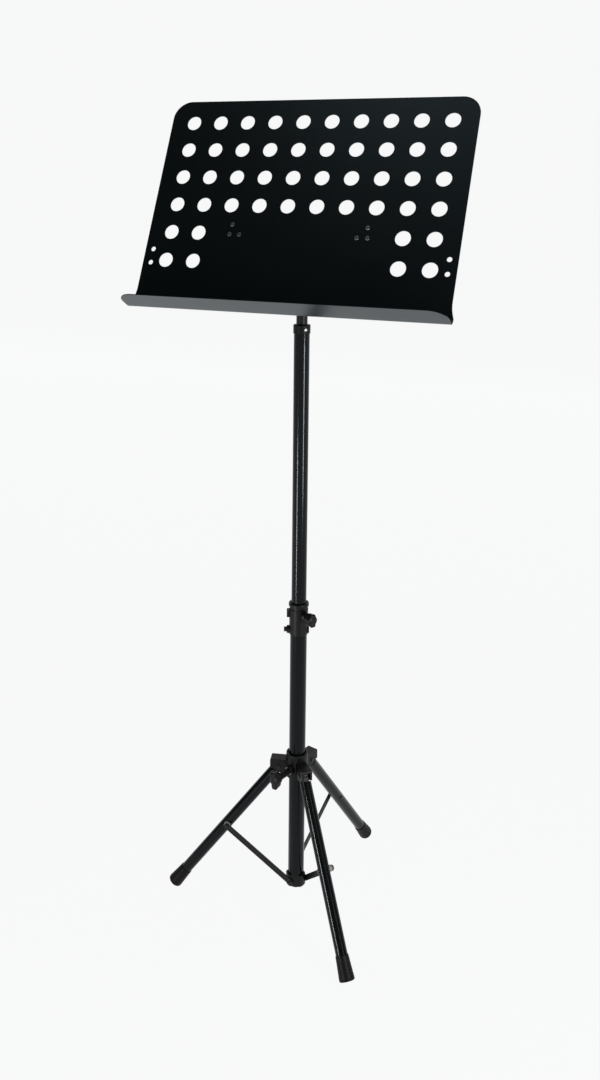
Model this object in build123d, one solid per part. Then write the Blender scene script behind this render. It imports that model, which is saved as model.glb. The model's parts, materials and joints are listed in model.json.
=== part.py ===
from build123d import *
from math import asin, atan2, cos, degrees, radians, sin, sqrt
import os

# Folding music stand: a perforated sheet desk on a two-part telescopic mast,
# carried by a hub with three folding legs and three flat stays.
# Frame: +Z up, origin on the floor under the mast's axis, the desk faces -Y.

# ---- fits and gaps -------------------------------------------------------
RUNNING = 0.05            # radial play of a shaft that turns or slides
FACE_GAP = 0.2  # play between flat faces of pieces that move past each other

# ---- desk sheet ----------------------------------------------------------
SHEET = 1.2               # sheet thickness
DESK_WIDTH = 512.4
DESK_TOP = 223.0  # top edge above the tilt axis, along the desk
DESK_CORNER = 30.0
DESK_FRONT = 25.1  # front face in front of the tilt axis
SHELF_BOTTOM = -140.4  # lowest face of the bend, along the desk
SHELF_DEPTH = 53.5  # from the desk's front face to the shelf's edge
SHELF_LIFT = 3.7  # degrees that the shelf turns up past square
SHELF_CORNER = 28.0
SHELF_FLARE = 4.8  # how much wider than the desk the shelf is, each side
FLARE_START = -103.0
FLARE_END = -128.0
BEND_RADIUS = 10.4  # at the middle of the sheet
ROW_PITCH = 48.0
HOLE_MARGIN = 40.2        # outer columns to the desk's side edge
HOLE_RADIUS = 12.1
HOLE_COLUMNS = 10
FULL_ROWS = 4
SIDE_ROWS = 2             # rows below with two holes at each side
SIDE_COLUMNS = 2
TOP_ROW = 184.0  # first row above the tilt axis
ACCESSORY_INSET = 13.8    # from the desk's side edge
ACCESSORY_TOP = -38.3
ACCESSORY_PITCH = 22.8
ACCESSORY_RADIUS = 4.0
TILT = 26.23  # degrees that the desk leans back

# ---- desk brackets and rivets --------------------------------------------
BRACKET_X = 86.0          # inner face of the bracket's flange
BRACKET_SHEET = 2.5
PAD_LENGTH = 36.0
PAD_HEIGHT = 34.0
PAD_CORNER = 7.0
FLANGE_RADIUS = 11.5
RIVETS = ((111.3, 7.2), (96.6, -9.5), (113.4, -9.5))
RIVET_SHANK = 2.4
RIVET_HEAD = 3.7
RIVET_HEAD_HEIGHT = 1.7
CROSS_TUBE = 8.0          # outer radius
CROSS_TUBE_WALL = 1.5
CROSS_TUBE_OVERHANG = 4.0

# ---- tilt head -----------------------------------------------------------
STEM_REACH = 139.7        # tilt axis above the upper tube
STEM_RADIUS = 9.0
STEM_WALL = 1.5
CLAMP_HALF = 17.0
CLAMP_WALL = 5.0
BUSH_WALL = 1.6
BUSH_FLANGE = 1.5
BUSH_FLANGE_RISE = 2.5
SOCKET_WALL = 3.2
SOCKET_LENGTH = 36.0
SOCKET_ROOF = 14.0        # stem's top below the tilt axis
EAR_BOLT_Y = 28.0
EAR_HALF_X = 9.0
EAR_HALF_Z = 8.0
EAR_NOSE = 8.0
SLIT = 2.0
TILT_BOLT = 3.0
WASHER_THICK = 1.2
WASHER_RIM = 3.5
WING_HUB = 6.0
WING_HEIGHT = 12.0
WING_SPAN = 14.5
WING_THICK = 3.5
STEM_PIN = 2.0
STEM_PIN_DROP = 32.0      # below the tilt axis

# ---- mast ----------------------------------------------------------------
LOWER_RADIUS = 14.3
UPPER_RADIUS = 12.7
TUBE_WALL = 1.2
LOWER_BOTTOM = 53.0
LOWER_TOP = 548.0
TUBE_OVERLAP = 58.0       # upper tube inside the lower one
UPPER_TOP = 1046.0
GUIDE_FLANGE = 8.0
GUIDE_SPIGOT = 20.0
GUIDE_WALL = 2.5
CAP_PLATE = 4.0
CAP_SKIRT = 10.0
CAP_SKIRT_WALL = 1.05
CAP_DEPTH = 50.0
CAP_FLOOR = 3.0
CAP_SCREW_DROP = 3.2
CAP_SCREW_AZIMUTH = -44.0
CAP_SCREW_RADIUS = 1.5
CAP_SCREW_HEAD = 3.0
CAP_SCREW_RISE = 1.4

# ---- height collar -------------------------------------------------------
COLLAR_WALL = 1.7
COLLAR_BELOW = 28.0       # collar below the lower tube's top
COLLAR_ABOVE = 18.0       # and above it
COLLAR_SIDE = 201.2       # azimuth of the side lug and of the fixing screws
NECK_WALL = 0.6
NECK_HEIGHT = 5.5
RING_WALL = 4.4           # flange of the liner round the upper tube
RING_HEIGHT = 6.0
SIDE_LUG_STAND = 4.4      # lug beyond the collar's round
SIDE_LUG_HALF = 5.5
SIDE_LUG_HEIGHT = 12.0
CLAMP_AZIMUTH = -34.0
CLAMP_RISE = 9.5          # clamp stud above the lower tube's top
CLAMP_BOSS = 7.5
CLAMP_BOSS_STAND = 6.0
COLLAR_SCREW_RISE = 7.5   # above the collar's lower face
COLLAR_SCREW = 2.0
SCREW_BOSS = 6.5
SCREW_BOSS_STAND = 4.4
SHORT_BOSS_STAND = 1.9
SCREW_FLATS = 8.0
SCREW_HEAD_HEIGHT = 4.6

# ---- wing knobs of the collar and the hub ----------------------------------
STUD = 3.0
PAD_RADIUS = 3.6
PAD_GAP = 0.3             # open clamp: pad to what it presses
HUB_PAD_THICK = 2.2
PAD_SEAT = 0.9            # how deep the collar's pad sits in the collar
INSERT_RADIUS = 5.0
INSERT_LENGTH = 4.5
KNOB_WASHER = 7.0
KNOB_NECK = 6.0
KNOB_HUB = 9.0
KNOB_DEPTH = 17.0
CLAMP_KNOB_SPAN = 12.5    # tip of a wing from the stud's axis
HUB_KNOB_SPAN = 16.5
KNOB_THICK = 10.0
CLAMP_KNOB_NECK = 5.0     # boss to the inner end of the wings
CLAMP_KNOB_TURN = 0.0
HUB_KNOB_NECK = 27.0
HUB_KNOB_TURN = 8.0

# ---- tripod --------------------------------------------------------------
LEG_AZIMUTHS = {"front": -46.7, "rear": 73.3, "left": 193.3}
LEG_ANGLE = 36.8          # from the vertical, legs open
LEG_RADIUS = 10.0
LEG_WALL = 1.2
HUB_PIVOT_R = 32.0
HUB_PIVOT_Z = 266.5
STAY_ON_LEG = 154.8       # stay rivet, along the leg from the hub pivot
STAY_PIVOT_R = 7.0
STAY_PIVOT_Z = 38.5
STAY_TUCK = 0.4           # stays' inner face inside the lower tube's outline
STAY_WIDTH = 10.0
STAY_THICK = 2.0
STAY_PIN = 2.5
STAY_PIN_HEAD = 3.6
STAY_PIN_HEAD_HEIGHT = 1.6
SPACER_RADIUS = 5.5
SPIDER_BOTTOM = 30.0
SPIDER_STAND = 3.5        # corners of the spider beyond the lower tube
SPIDER_SPIGOT = 20.0
SPIDER_PIN_DEPTH = 8.0
BUMPER_RADIUS = 11.0
BUMPER_HEIGHT = 4.0
BUMPER_PLUG = 3.5
BUMPER_DEPTH = 5.0

# ---- hub -----------------------------------------------------------------
HUB_PLAY = 1.5            # clears the mast sideways while the legs fold
HUB_WALL = 3.4
HUB_BELOW = 16.5          # sleeve below the pins' axis
HUB_ABOVE = 28.5          # and above it
LUG_HALF = 9.25
LUG_ABOVE = 15.0
LUG_ROOF = 4.5
LUG_OVERHANG = 5.0        # how far the lug's roof reaches past its ears
LUG_UNDER = 3.0           # depth of the overhang below the pin's axis
LUG_NOSE = 10.0  # radius of the ears about the pin
SLOT_HALF = 6.0
EYE_HALF = 4.5
EYE_RADIUS = 9.0
HUB_PIN = 2.5
OPEN_PIVOT_PLAY = 2.4     # play of the rear and left hub pins, which close the linkage
PIN_HEAD = 3.8
PIN_HEAD_HEIGHT = 1.6
LEG_TUBE_START = 11.5
LEG_NECK_HALF = 7.5
EYE_PLUG_LENGTH = 22.0
HUB_KNOB_AZIMUTH = 253.3
HUB_KNOB_RISE = 1.5       # stud above the pins' axis
KNOB_BOSS = 8.5
KNOB_BOSS_STAND = 4.8

# ---- feet ----------------------------------------------------------------
FOOT_RADIUS = 13.2        # at the end
FOOT_TOP_RADIUS = 10.9
FOOT_LENGTH = 39.0
FOOT_FLOOR = 4.0          # rubber under the tube's end
FOOT_EDGE = 3.0
FOOT_FLAT = 0.4           # how far the edge is pressed flat on the floor

LOW = (Align.CENTER, Align.CENTER, Align.MIN)


# ---- derived sizes -------------------------------------------------------
TILT_Z = UPPER_TOP + STEM_REACH
UPPER_BOTTOM = LOWER_TOP - TUBE_OVERLAP
COLLAR_BOTTOM = LOWER_TOP - COLLAR_BELOW
COLLAR_TOP = LOWER_TOP + COLLAR_ABOVE
COLLAR_RADIUS = LOWER_RADIUS + COLLAR_WALL
NECK_RADIUS = LOWER_RADIUS + NECK_WALL
RING_RADIUS = UPPER_RADIUS + RING_WALL
CLAMP_Z = LOWER_TOP + CLAMP_RISE
COLLAR_SCREW_Z = COLLAR_BOTTOM + COLLAR_SCREW_RISE
SIDE_LUG_REACH = COLLAR_RADIUS + SIDE_LUG_STAND
CLAMP_BOSS_END = COLLAR_RADIUS + CLAMP_BOSS_STAND
SCREW_BOSS_REACH = COLLAR_RADIUS + SCREW_BOSS_STAND
SCREW_BOSS_SHORT = COLLAR_RADIUS + SHORT_BOSS_STAND
CLAMP_KNOB_START = CLAMP_BOSS_END + CLAMP_KNOB_NECK
HUB_BORE = LOWER_RADIUS + HUB_PLAY
HUB_BOTTOM = HUB_PIVOT_Z - HUB_BELOW
HUB_TOP = HUB_PIVOT_Z + HUB_ABOVE
LUG_TOP = HUB_PIVOT_Z + LUG_ABOVE
HUB_KNOB_Z = HUB_PIVOT_Z + HUB_KNOB_RISE
KNOB_BOSS_END = HUB_BORE + HUB_WALL + KNOB_BOSS_STAND
HUB_KNOB_START = KNOB_BOSS_END + HUB_KNOB_NECK
SPIDER_CLIP = LOWER_RADIUS + SPIDER_STAND
STAY_PLANE = LOWER_RADIUS - STAY_TUCK
ACCESSORY_X = DESK_WIDTH / 2 - ACCESSORY_INSET
column_pitch = (DESK_WIDTH - 2 * HOLE_MARGIN) / (HOLE_COLUMNS - 1)
leg_sin = sin(radians(LEG_ANGLE))
leg_cos = cos(radians(LEG_ANGLE))
foot_drop = (FOOT_RADIUS - FOOT_EDGE) * leg_sin + FOOT_EDGE * (1 - leg_cos) - FOOT_FLAT
LEG_LENGTH = (HUB_PIVOT_Z - foot_drop) / leg_cos
rivet_r = HUB_PIVOT_R + STAY_ON_LEG * leg_sin
rivet_z = HUB_PIVOT_Z - STAY_ON_LEG * leg_cos
STAY_LENGTH = sqrt((rivet_r - STAY_PIVOT_R) ** 2 + (rivet_z - STAY_PIVOT_Z) ** 2)
STAY_ANGLE = degrees(atan2(rivet_r - STAY_PIVOT_R, rivet_z - STAY_PIVOT_Z))
lower_bore = LOWER_RADIUS - TUBE_WALL
upper_bore = UPPER_RADIUS - TUBE_WALL
bush_outer = CROSS_TUBE + RUNNING + BUSH_WALL
clamp_outer = bush_outer + CLAMP_WALL
sheet_back = DESK_FRONT - SHEET
sheet_middle = DESK_FRONT - SHEET / 2


# ---- small helpers -------------------------------------------------------
def rod(radius, low, high):
    """Round bar along Z from low to high."""
    return Pos(0, 0, low) * Cylinder(radius, high - low, align=LOW)


def pipe(outer, inner, low, high):
    """Round tube along Z."""
    return rod(outer, low, high) - rod(inner, low - 1, high + 1)


def block(x, y, z):
    """Box from its low and high limits along each axis."""
    box = Box(x[1] - x[0], y[1] - y[0], z[1] - z[0])
    return Pos((x[0] + x[1]) / 2, (y[0] + y[1]) / 2, (z[0] + z[1]) / 2) * box


def button(radius, low, height):
    """Rivet or pin head on a flat at low: a disc with a rounded rim."""
    head = rod(radius, low, low + height)
    return fillet(head.edges().group_by(Axis.Z)[-1], height * 0.6)


def pinned(radius, head, low, high, head_height):
    """Round pin along Z between two flats, with a button head at both ends."""
    top = button(head, high, head_height)
    bottom = Pos(0, 0, low) * (Rot(180, 0, 0) * button(head, 0, head_height))
    return rod(radius, low, high) + top + bottom


def aim(azimuth, radius=0.0, height=0.0):
    """Frame whose Z points outward along an azimuth, and whose X points up."""
    a = radians(azimuth)
    out = (cos(a), sin(a), 0)
    origin = (radius * cos(a), radius * sin(a), height)
    return Plane(origin=origin, x_dir=(0, 0, 1), z_dir=out)


def around(azimuth, part):
    """Turn a part about the mast's axis."""
    return Rot(0, 0, azimuth) * part


def group(parts):
    """Separate solids that share one node."""
    return Compound(children=list(parts))


desk_frame = Plane(
    origin=(0, 0, TILT_Z),
    x_dir=(1, 0, 0),
    z_dir=(0, -cos(radians(TILT)), sin(radians(TILT))),
)
side_plane = Plane(origin=(0, 0, 0), x_dir=(0, 1, 0), z_dir=(1, 0, 0))


# ---- desk: local x across, y up the desk, z towards the player ------------
def rivet_places():
    """Rivet centres of both clusters, mirror images of each other."""
    return [(side * x, y) for side in (-1, 1) for x, y in RIVETS]


def hole_places():
    """Lightening holes: full rows, then short rows at both sides."""
    places = []
    for row in range(FULL_ROWS + SIDE_ROWS):
        for column in range(HOLE_COLUMNS):
            at_side = column < SIDE_COLUMNS or column >= HOLE_COLUMNS - SIDE_COLUMNS
            if row < FULL_ROWS or at_side:
                x = (column - (HOLE_COLUMNS - 1) / 2) * column_pitch
                places.append((x, TOP_ROW - row * ROW_PITCH))
    return places


def accessory_places():
    """Two small holes near each side edge."""
    ys = (ACCESSORY_TOP, ACCESSORY_TOP - ACCESSORY_PITCH)
    return [(side * ACCESSORY_X, y) for side in (-1, 1) for y in ys]


def desk_outline():
    """Front outline of the sheet, which flares out in an arc to the shelf's width."""
    half = DESK_WIDTH / 2
    wide = half + SHELF_FLARE
    low = SHELF_BOTTOM - 5
    run = FLARE_START - FLARE_END
    radius = (run**2 + SHELF_FLARE**2) / (2 * SHELF_FLARE)
    lines = Curve()
    for side in (1, -1):
        start, end = (side * half, FLARE_START), (side * wide, FLARE_END)
        slope = asin(run / radius) / 2
        bow = (side * (half + radius * (1 - cos(slope))), FLARE_START - radius * sin(slope))
        lines += Line((side * half, DESK_TOP), start)
        lines += ThreePointArc(start, bow, end)
        lines += Line(end, (side * wide, low))
    lines += Line((half, DESK_TOP), (-half, DESK_TOP))
    lines += Line((wide, low), (-wide, low))
    face = make_face(lines)
    return fillet(face.vertices().group_by(Axis.Y)[-1], DESK_CORNER)


def make_desk_sheet():
    corner = (SHELF_BOTTOM + SHEET / 2, sheet_middle)
    run = SHELF_DEPTH + SHEET / 2
    rise = run * sin(radians(SHELF_LIFT))
    edge = (corner[0] + rise, corner[1] + run)
    path = FilletPolyline((DESK_TOP, sheet_middle), corner, edge, radius=BEND_RADIUS)
    profile = side_plane * trace(path, SHEET)
    wide = DESK_WIDTH / 2 + SHELF_FLARE
    sheet = extrude(profile, wide, both=True)
    sheet &= extrude(desk_outline(), DESK_FRONT + SHELF_DEPTH + 10)
    shelf = RectangleRounded(2 * wide, 2 * (DESK_FRONT + SHELF_DEPTH), SHELF_CORNER)
    sheet &= extrude(Plane.XZ * shelf, DESK_TOP + 10, both=True)
    through = 2 * DESK_FRONT
    for places, radius in (
        (hole_places(), HOLE_RADIUS),
        (accessory_places(), ACCESSORY_RADIUS),
        (rivet_places(), RIVET_SHANK),
    ):
        sheet -= [Pos(x, y, 0) * rod(radius, 0, through) for x, y in places]
    return desk_frame * sheet


def make_bracket(side):
    """Stamped bracket: a pad riveted behind the desk and a flange round the tube."""
    pad_x = BRACKET_X + PAD_LENGTH / 2
    pad = Pos(pad_x, 0, 0) * RectangleRounded(PAD_LENGTH, PAD_HEIGHT, PAD_CORNER)
    pad = Pos(0, 0, sheet_back - BRACKET_SHEET) * extrude(pad, BRACKET_SHEET)
    top = sheet_back - BRACKET_SHEET
    foot = Pos(0, top / 2) * Rectangle(2 * FLANGE_RADIUS, top)
    flange = extrude(side_plane * (Circle(FLANGE_RADIUS) + foot), BRACKET_SHEET)
    lap = block((0, BRACKET_SHEET), (-FLANGE_RADIUS, FLANGE_RADIUS), (top, sheet_back))
    bore = Rot(0, 90, 0) * rod(CROSS_TUBE, -1, BRACKET_SHEET + 1)
    bracket = pad + Pos(BRACKET_X, 0, 0) * (flange + lap - bore)
    bracket -= [Pos(x, y, 0) * rod(RIVET_SHANK, 0, sheet_back + 1) for x, y in RIVETS]
    if side < 0:
        bracket = mirror(bracket, Plane.YZ)
    return desk_frame * bracket


def make_desk_rivets():
    low = sheet_back - BRACKET_SHEET
    rivet = pinned(RIVET_SHANK, RIVET_HEAD, low, DESK_FRONT, RIVET_HEAD_HEIGHT)
    return group(desk_frame * Pos(x, y, 0) * rivet for x, y in rivet_places())


def make_tilt_tube():
    end = BRACKET_X + BRACKET_SHEET + CROSS_TUBE_OVERHANG
    tube = Rot(0, 90, 0) * pipe(CROSS_TUBE, CROSS_TUBE - CROSS_TUBE_WALL, -end, end)
    return desk_frame * tube


# ---- tilt head -----------------------------------------------------------
def make_tilt_clamp():
    barrel = Rot(0, 90, 0) * rod(clamp_outer, -CLAMP_HALF, CLAMP_HALF)
    socket = rod(STEM_RADIUS + SOCKET_WALL, -SOCKET_ROOF - SOCKET_LENGTH, -SOCKET_ROOF / 2)
    ear_end = EAR_BOLT_Y + EAR_NOSE
    ears = block((-EAR_HALF_X, EAR_HALF_X), (0, ear_end), (-EAR_HALF_Z, EAR_HALF_Z))
    ears = fillet(ears.edges().filter_by(Axis.Z).sort_by(Axis.Y)[-2:], EAR_HALF_X * 0.9)
    clamp = barrel + socket + ears
    clamp -= Rot(0, 90, 0) * rod(bush_outer, -CLAMP_HALF - 1, CLAMP_HALF + 1)
    clamp -= rod(STEM_RADIUS, -SOCKET_ROOF - SOCKET_LENGTH - 1, -SOCKET_ROOF)
    wide = CLAMP_HALF + 1
    clamp -= block((-wide, wide), (0, ear_end + 1), (-SLIT / 2, SLIT / 2))
    clamp -= Pos(0, EAR_BOLT_Y, 0) * rod(TILT_BOLT, -EAR_HALF_Z - 1, EAR_HALF_Z + 1)
    clamp -= Pos(0, 0, -STEM_PIN_DROP) * Rot(0, 90, 0) * rod(STEM_PIN, -50, 50)
    return Pos(0, 0, TILT_Z) * clamp


def make_tilt_bush():
    inner = CROSS_TUBE + RUNNING
    end = CLAMP_HALF + BUSH_FLANGE
    bush = pipe(bush_outer, inner, -CLAMP_HALF, CLAMP_HALF)
    for low, high in ((-end, -CLAMP_HALF), (CLAMP_HALF, end)):
        bush += pipe(bush_outer + BUSH_FLANGE_RISE, inner, low, high)
    return Pos(0, 0, TILT_Z) * Rot(0, 90, 0) * bush


def make_stem():
    bottom = UPPER_TOP + CAP_PLATE - CAP_DEPTH
    top = TILT_Z - SOCKET_ROOF
    stem = pipe(STEM_RADIUS, STEM_RADIUS - STEM_WALL, bottom + FACE_GAP, top)
    hole = Rot(0, 90, 0) * rod(STEM_PIN, -50, 50)
    return stem - Pos(0, 0, TILT_Z - STEM_PIN_DROP) * hole


def make_stem_pin():
    half = STEM_RADIUS + SOCKET_WALL
    pin = pinned(STEM_PIN, STEM_PIN * 1.7, -half, half, STEM_PIN * 0.8)
    return Pos(0, 0, TILT_Z - STEM_PIN_DROP) * Rot(0, 90, 0) * pin


def make_tilt_bolt():
    nut_end = -EAR_HALF_Z - WASHER_THICK - WING_HEIGHT
    bolt = rod(TILT_BOLT, nut_end - 4, EAR_HALF_Z)
    bolt += button(TILT_BOLT * 2, EAR_HALF_Z, TILT_BOLT)
    return Pos(0, EAR_BOLT_Y, TILT_Z) * bolt


def make_tilt_washer():
    low = -EAR_HALF_Z - WASHER_THICK
    washer = pipe(TILT_BOLT + WASHER_RIM, TILT_BOLT, low, -EAR_HALF_Z)
    return Pos(0, EAR_BOLT_Y, TILT_Z) * washer


def make_tilt_wing_nut():
    """Nut with two wings that spread and thin out towards their tips."""
    top = -EAR_HALF_Z - WASHER_THICK - FACE_GAP
    hub = rod(WING_HUB, top - WING_HEIGHT * 0.7, top)
    wing = Polyline(
        (0, top - 2),
        (WING_SPAN, top - WING_HEIGHT * 0.55),
        (WING_SPAN - 2, top - WING_HEIGHT),
        (WING_HUB - 2, top - WING_HEIGHT * 0.7),
        (0, top - WING_HEIGHT * 0.7),
        close=True,
    )
    wing = extrude(Plane.XZ * make_face(wing), WING_THICK / 2, both=True)
    nut = hub + wing + mirror(wing, Plane.YZ)
    nut -= rod(TILT_BOLT + RUNNING, top - 2 * WING_HEIGHT, top + 1)
    return Pos(0, EAR_BOLT_Y, TILT_Z) * nut


# ---- mast ----------------------------------------------------------------
def make_lower_tube():
    tube = pipe(LOWER_RADIUS, lower_bore, LOWER_BOTTOM, LOWER_TOP)
    hole = aim(COLLAR_SIDE, 0, COLLAR_SCREW_Z) * rod(COLLAR_SCREW, -50, 50)
    return tube - hole


def make_upper_tube():
    tube = pipe(UPPER_RADIUS, upper_bore, UPPER_BOTTOM, UPPER_TOP)
    height = UPPER_TOP - CAP_SCREW_DROP
    return tube - aim(CAP_SCREW_AZIMUTH, 0, height) * rod(CAP_SCREW_RADIUS, 0, 50)


def make_guide_bush():
    bush = rod(lower_bore - RUNNING, UPPER_BOTTOM - GUIDE_FLANGE, UPPER_BOTTOM)
    bush = chamfer(bush.edges().group_by(Axis.Z)[0], 1.0)
    bush += rod(upper_bore, UPPER_BOTTOM, UPPER_BOTTOM + GUIDE_SPIGOT)
    low, high = UPPER_BOTTOM - GUIDE_FLANGE - 1, UPPER_BOTTOM + GUIDE_SPIGOT + 1
    return bush - rod(upper_bore - GUIDE_WALL, low, high)


def make_tube_cap():
    top = UPPER_TOP + CAP_PLATE
    skirt = UPPER_RADIUS + CAP_SKIRT_WALL
    cap = rod(skirt, UPPER_TOP - CAP_SKIRT, top)
    cap = fillet(cap.edges().group_by(Axis.Z)[-1], 1.5)
    cap -= pipe(UPPER_RADIUS, upper_bore, 0, UPPER_TOP)
    cap += rod(upper_bore, top - CAP_DEPTH - CAP_FLOOR, UPPER_TOP)
    cap -= rod(STEM_RADIUS + RUNNING, top - CAP_DEPTH, top + 1)
    height = UPPER_TOP - CAP_SCREW_DROP
    return cap - aim(CAP_SCREW_AZIMUTH, 0, height) * rod(CAP_SCREW_RADIUS, 0, 50)


def make_cap_screw():
    skirt = UPPER_RADIUS + CAP_SKIRT_WALL
    screw = rod(CAP_SCREW_RADIUS, STEM_RADIUS + 0.6, skirt)
    screw += button(CAP_SCREW_HEAD, skirt - 0.3, CAP_SCREW_RISE + 0.3)
    screw -= rod(UPPER_RADIUS + CAP_SKIRT_WALL, -1, skirt) - rod(CAP_SCREW_RADIUS, -2, 50)
    return aim(CAP_SCREW_AZIMUTH, 0, UPPER_TOP - CAP_SCREW_DROP) * screw


# ---- wing knobs: built along Z, the mast's axis at z = 0 --------------------
def wing_grip(start, base, span):
    """Moulded knob: a neck, a round hub and two wings that widen outward."""
    high = start + KNOB_DEPTH
    hub = rod(KNOB_HUB, start, high - 2)
    hub = fillet(hub.edges().group_by(Axis.Z)[-1], 2.0)
    outline = Polyline(
        (0, start + 1),
        (span - 4, start + 2),
        (span, high - 3),
        (span - 5, high),
        (0, high - 5),
        close=True,
    )
    wing = make_face(outline)
    wing = fillet(wing.vertices().sort_by(Axis.X)[2:], 2.0)
    wing = extrude(Plane.XZ * wing, KNOB_THICK / 2, both=True)
    wings = wing + mirror(wing, Plane.YZ)
    grip = hub + wings + rod(KNOB_NECK, base, start + 1)
    return grip - rod(STUD, base - 1, start + KNOB_DEPTH * 0.6)


def knob_base(boss_end):
    """Inner face of a knob, past the boss and the washer."""
    return boss_end + FACE_GAP + WASHER_THICK


def knob_washer(boss_end):
    low = boss_end + FACE_GAP
    return pipe(KNOB_WASHER, STUD, low, low + WASHER_THICK)


def knob_stud(tip, start):
    return rod(STUD, tip, start + KNOB_DEPTH * 0.6)


def insert_sleeve(boss_end):
    """Threaded bush pressed into the boss round the stud."""
    return pipe(INSERT_RADIUS, STUD + RUNNING, boss_end - INSERT_LENGTH, boss_end)


def knob_bore(pad_end, boss_end):
    """What a knob's boss is bored out by: the pad's hole, the stud's and the bush's."""
    bore = rod(PAD_RADIUS, 0, pad_end + 1.0)
    bore += rod(STUD + 0.5, 0, boss_end + 1)
    return bore + rod(INSERT_RADIUS, boss_end - INSERT_LENGTH, boss_end + 1)


clamp_inner = UPPER_RADIUS + PAD_GAP
clamp_pad_end = LOWER_RADIUS + PAD_SEAT
hub_inner = HUB_BORE + PAD_GAP
hub_pad_end = hub_inner + HUB_PAD_THICK
clamp_place = aim(CLAMP_AZIMUTH, 0, CLAMP_Z)
hub_knob_place = aim(HUB_KNOB_AZIMUTH, 0, HUB_KNOB_Z)


def make_pad(place, inner, pad_end):
    return place * rod(PAD_RADIUS, inner, pad_end)


def make_knob(place, start, boss_end, span):
    return place * wing_grip(start, knob_base(boss_end), span)


def make_stud(place, pad_end, start):
    return place * knob_stud(pad_end + FACE_GAP, start)


# ---- height collar ---------------------------------------------------------
def make_height_collar():
    body = rod(COLLAR_RADIUS, COLLAR_BOTTOM, COLLAR_TOP)
    body = chamfer(body.edges().group_by(Axis.Z)[0], 0.8)
    body += rod(NECK_RADIUS, COLLAR_TOP, COLLAR_TOP + NECK_HEIGHT)
    z = (CLAMP_Z - SIDE_LUG_HEIGHT / 2, CLAMP_Z + SIDE_LUG_HEIGHT / 2)
    lug = block((0, SIDE_LUG_REACH), (-SIDE_LUG_HALF, SIDE_LUG_HALF), z)
    lug = fillet(lug.edges().filter_by(Axis.Z).group_by(Axis.X)[-1], 2.0)
    body += around(COLLAR_SIDE, lug)
    boss = rod(CLAMP_BOSS, 0, CLAMP_BOSS_END)
    body += clamp_place * fillet(boss.edges().group_by(Axis.Z)[-1], 0.8)
    screw = aim(COLLAR_SIDE, 0, COLLAR_SCREW_Z)
    cone = Cone(SCREW_BOSS + 3, SCREW_BOSS, SCREW_BOSS_REACH, align=LOW)
    body += screw * cone
    body += aim(COLLAR_SIDE + 180, 0, COLLAR_SCREW_Z) * rod(SCREW_BOSS, 0, SCREW_BOSS_SHORT)
    body -= rod(LOWER_RADIUS, 0, COLLAR_TOP + NECK_HEIGHT + 1)
    body -= screw * rod(COLLAR_SCREW, -50, 50)
    return body - clamp_place * knob_bore(clamp_pad_end, CLAMP_BOSS_END)


def make_collar_liner():
    """Bush between collar and upper tube, with a flange above the collar's neck."""
    low = COLLAR_TOP + NECK_HEIGHT
    bore = UPPER_RADIUS + RUNNING
    liner = pipe(LOWER_RADIUS, bore, LOWER_TOP, low)
    ring = rod(RING_RADIUS, low, low + RING_HEIGHT)
    ring = fillet(ring.edges().group_by(Axis.Z)[-1], 2.0)
    ring = ring - rod(bore, low - 1, low + RING_HEIGHT + 1)
    return liner + ring - clamp_place * rod(PAD_RADIUS, 0, 50)


def make_collar_screws():
    """Two screws through collar and lower tube: one with a head, one set flush."""
    long = rod(COLLAR_SCREW, lower_bore + 0.1, SCREW_BOSS_REACH)
    head = extrude(RegularPolygon(SCREW_FLATS / 2, 6, major_radius=False), SCREW_HEAD_HEIGHT)
    long += Pos(0, 0, SCREW_BOSS_REACH) * head
    short = rod(COLLAR_SCREW, lower_bore + 0.1, SCREW_BOSS_SHORT)
    return group(
        (
            aim(COLLAR_SIDE, 0, COLLAR_SCREW_Z) * long,
            aim(COLLAR_SIDE + 180, 0, COLLAR_SCREW_Z) * short,
        )
    )


# ---- spider at the foot of the mast ---------------------------------------
def make_lower_spider():
    """Boss with a flat for each stay, and a spigot inside the lower tube."""
    inner = STAY_PLANE - FACE_GAP
    boss = rod(SPIDER_CLIP, SPIDER_BOTTOM, LOWER_BOTTOM)
    boss = fillet(boss.edges().group_by(Axis.Z)[0], 2.0)
    for azimuth in LEG_AZIMUTHS.values():
        beyond = block((-60, 60), (inner, 80), (0, LOWER_BOTTOM + 1))
        boss -= around(azimuth, beyond)
    spider = boss + rod(lower_bore, LOWER_BOTTOM, LOWER_BOTTOM + SPIDER_SPIGOT)
    spider -= rod(BUMPER_PLUG, 0, SPIDER_BOTTOM + BUMPER_DEPTH)
    for azimuth in LEG_AZIMUTHS.values():
        hole = Pos(STAY_PIVOT_R, 0, STAY_PIVOT_Z) * Rot(-90, 0, 0)
        spider -= around(azimuth, hole * rod(STAY_PIN, inner - SPIDER_PIN_DEPTH, 60))
    return spider


def make_mast_bumper():
    """Soft disc under the spider, held by a plug."""
    disc = rod(BUMPER_RADIUS, SPIDER_BOTTOM - BUMPER_HEIGHT, SPIDER_BOTTOM)
    disc = fillet(disc.edges().group_by(Axis.Z)[0], 1.2)
    return disc + rod(BUMPER_PLUG, SPIDER_BOTTOM, SPIDER_BOTTOM + BUMPER_DEPTH)


def make_spider_pins():
    inner = STAY_PLANE - FACE_GAP
    outer = STAY_PLANE + STAY_THICK + FACE_GAP
    pin = rod(STAY_PIN, inner - SPIDER_PIN_DEPTH, outer)
    pin += button(STAY_PIN_HEAD, outer, STAY_PIN_HEAD_HEIGHT)
    place = Pos(STAY_PIVOT_R, 0, STAY_PIVOT_Z) * Rot(-90, 0, 0)
    return group(around(azimuth, place * pin) for azimuth in LEG_AZIMUTHS.values())


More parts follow.
